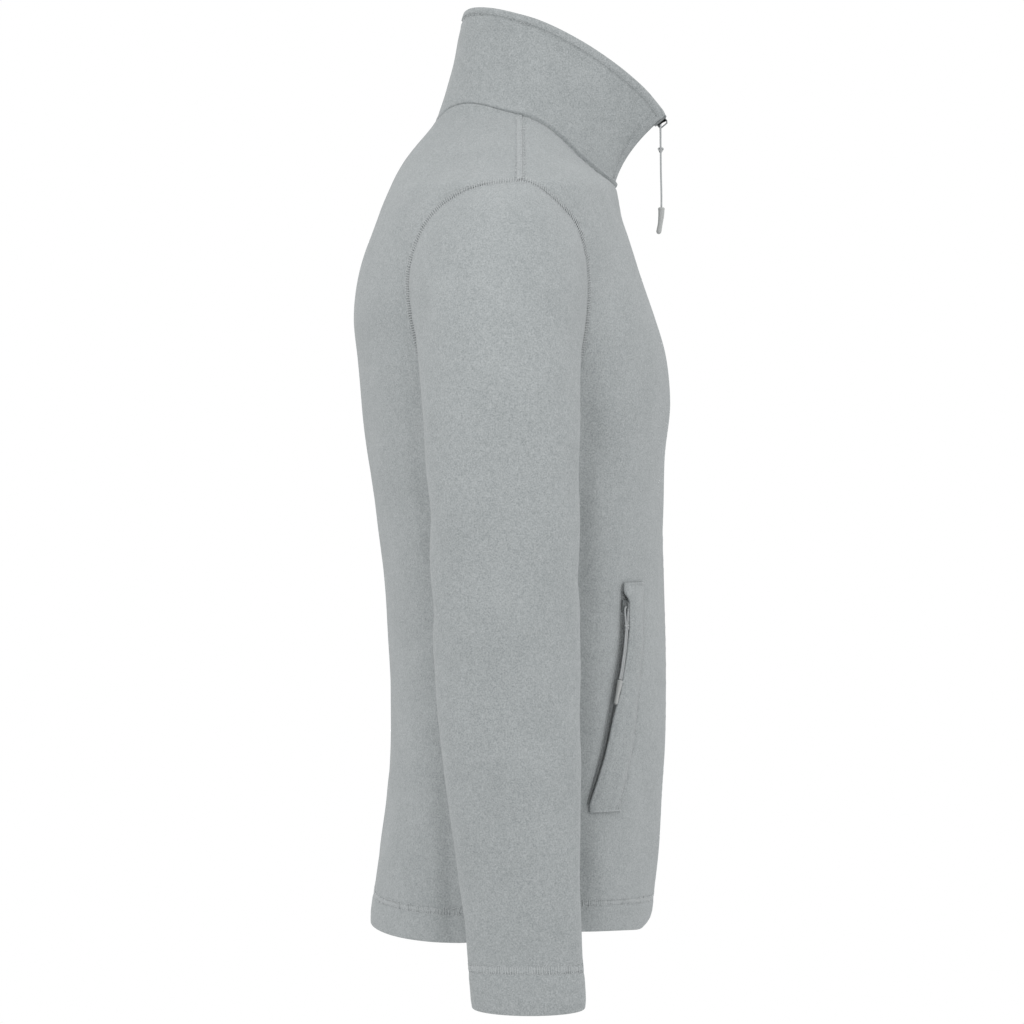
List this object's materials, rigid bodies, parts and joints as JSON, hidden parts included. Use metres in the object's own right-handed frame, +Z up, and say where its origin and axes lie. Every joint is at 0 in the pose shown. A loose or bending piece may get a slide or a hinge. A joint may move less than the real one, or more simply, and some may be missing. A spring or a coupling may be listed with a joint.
{
  "type": "fleece zip jacket",
  "caption": "Hollow, filled-out fleece jacket with a stand collar, full-length front zip, two slanted zip pockets, set-in sleeves and cord zip pullers.",
  "frame": {"origin": "middle of the neck opening, level with the tops of the shoulder seams", "axes": "+Z up along the wearer, -Y out of the front, +X to the wearer's left"},
  "size_m": [0.609, 0.2705, 0.829],
  "materials": {
    "fleece": "short brushed nap",
    "zip_tape": "woven tape with a moulded plastic chain",
    "slider_metal": "satin grey plating",
    "puller_cord": "thin braided cord",
    "moulded_end": "matt soft plastic"
  },
  "bodies": {
    "root": {"back": "fleece", "front_left": "fleece", "front_right": "fleece", "sleeve_left": "fleece", "sleeve_right": "fleece", "collar": "fleece", "front_zip_left": "zip_tape", "front_zip_right": "zip_tape", "pocket_zip_left": "zip_tape", "pocket_zip_right": "zip_tape", "pocket_welt_left": "fleece", "pocket_welt_right": "fleece", "front_slider": "slider_metal", "front_pull_cord": "puller_cord", "front_pull_end": "moulded_end", "pocket_pull_cord_left": "puller_cord", "pocket_pull_cord_right": "puller_cord", "pocket_pull_end_left": "moulded_end", "pocket_pull_end_right": "moulded_end", "pocket_slider_left": "slider_metal", "pocket_slider_right": "slider_metal"}
  },
  "joints": []
}
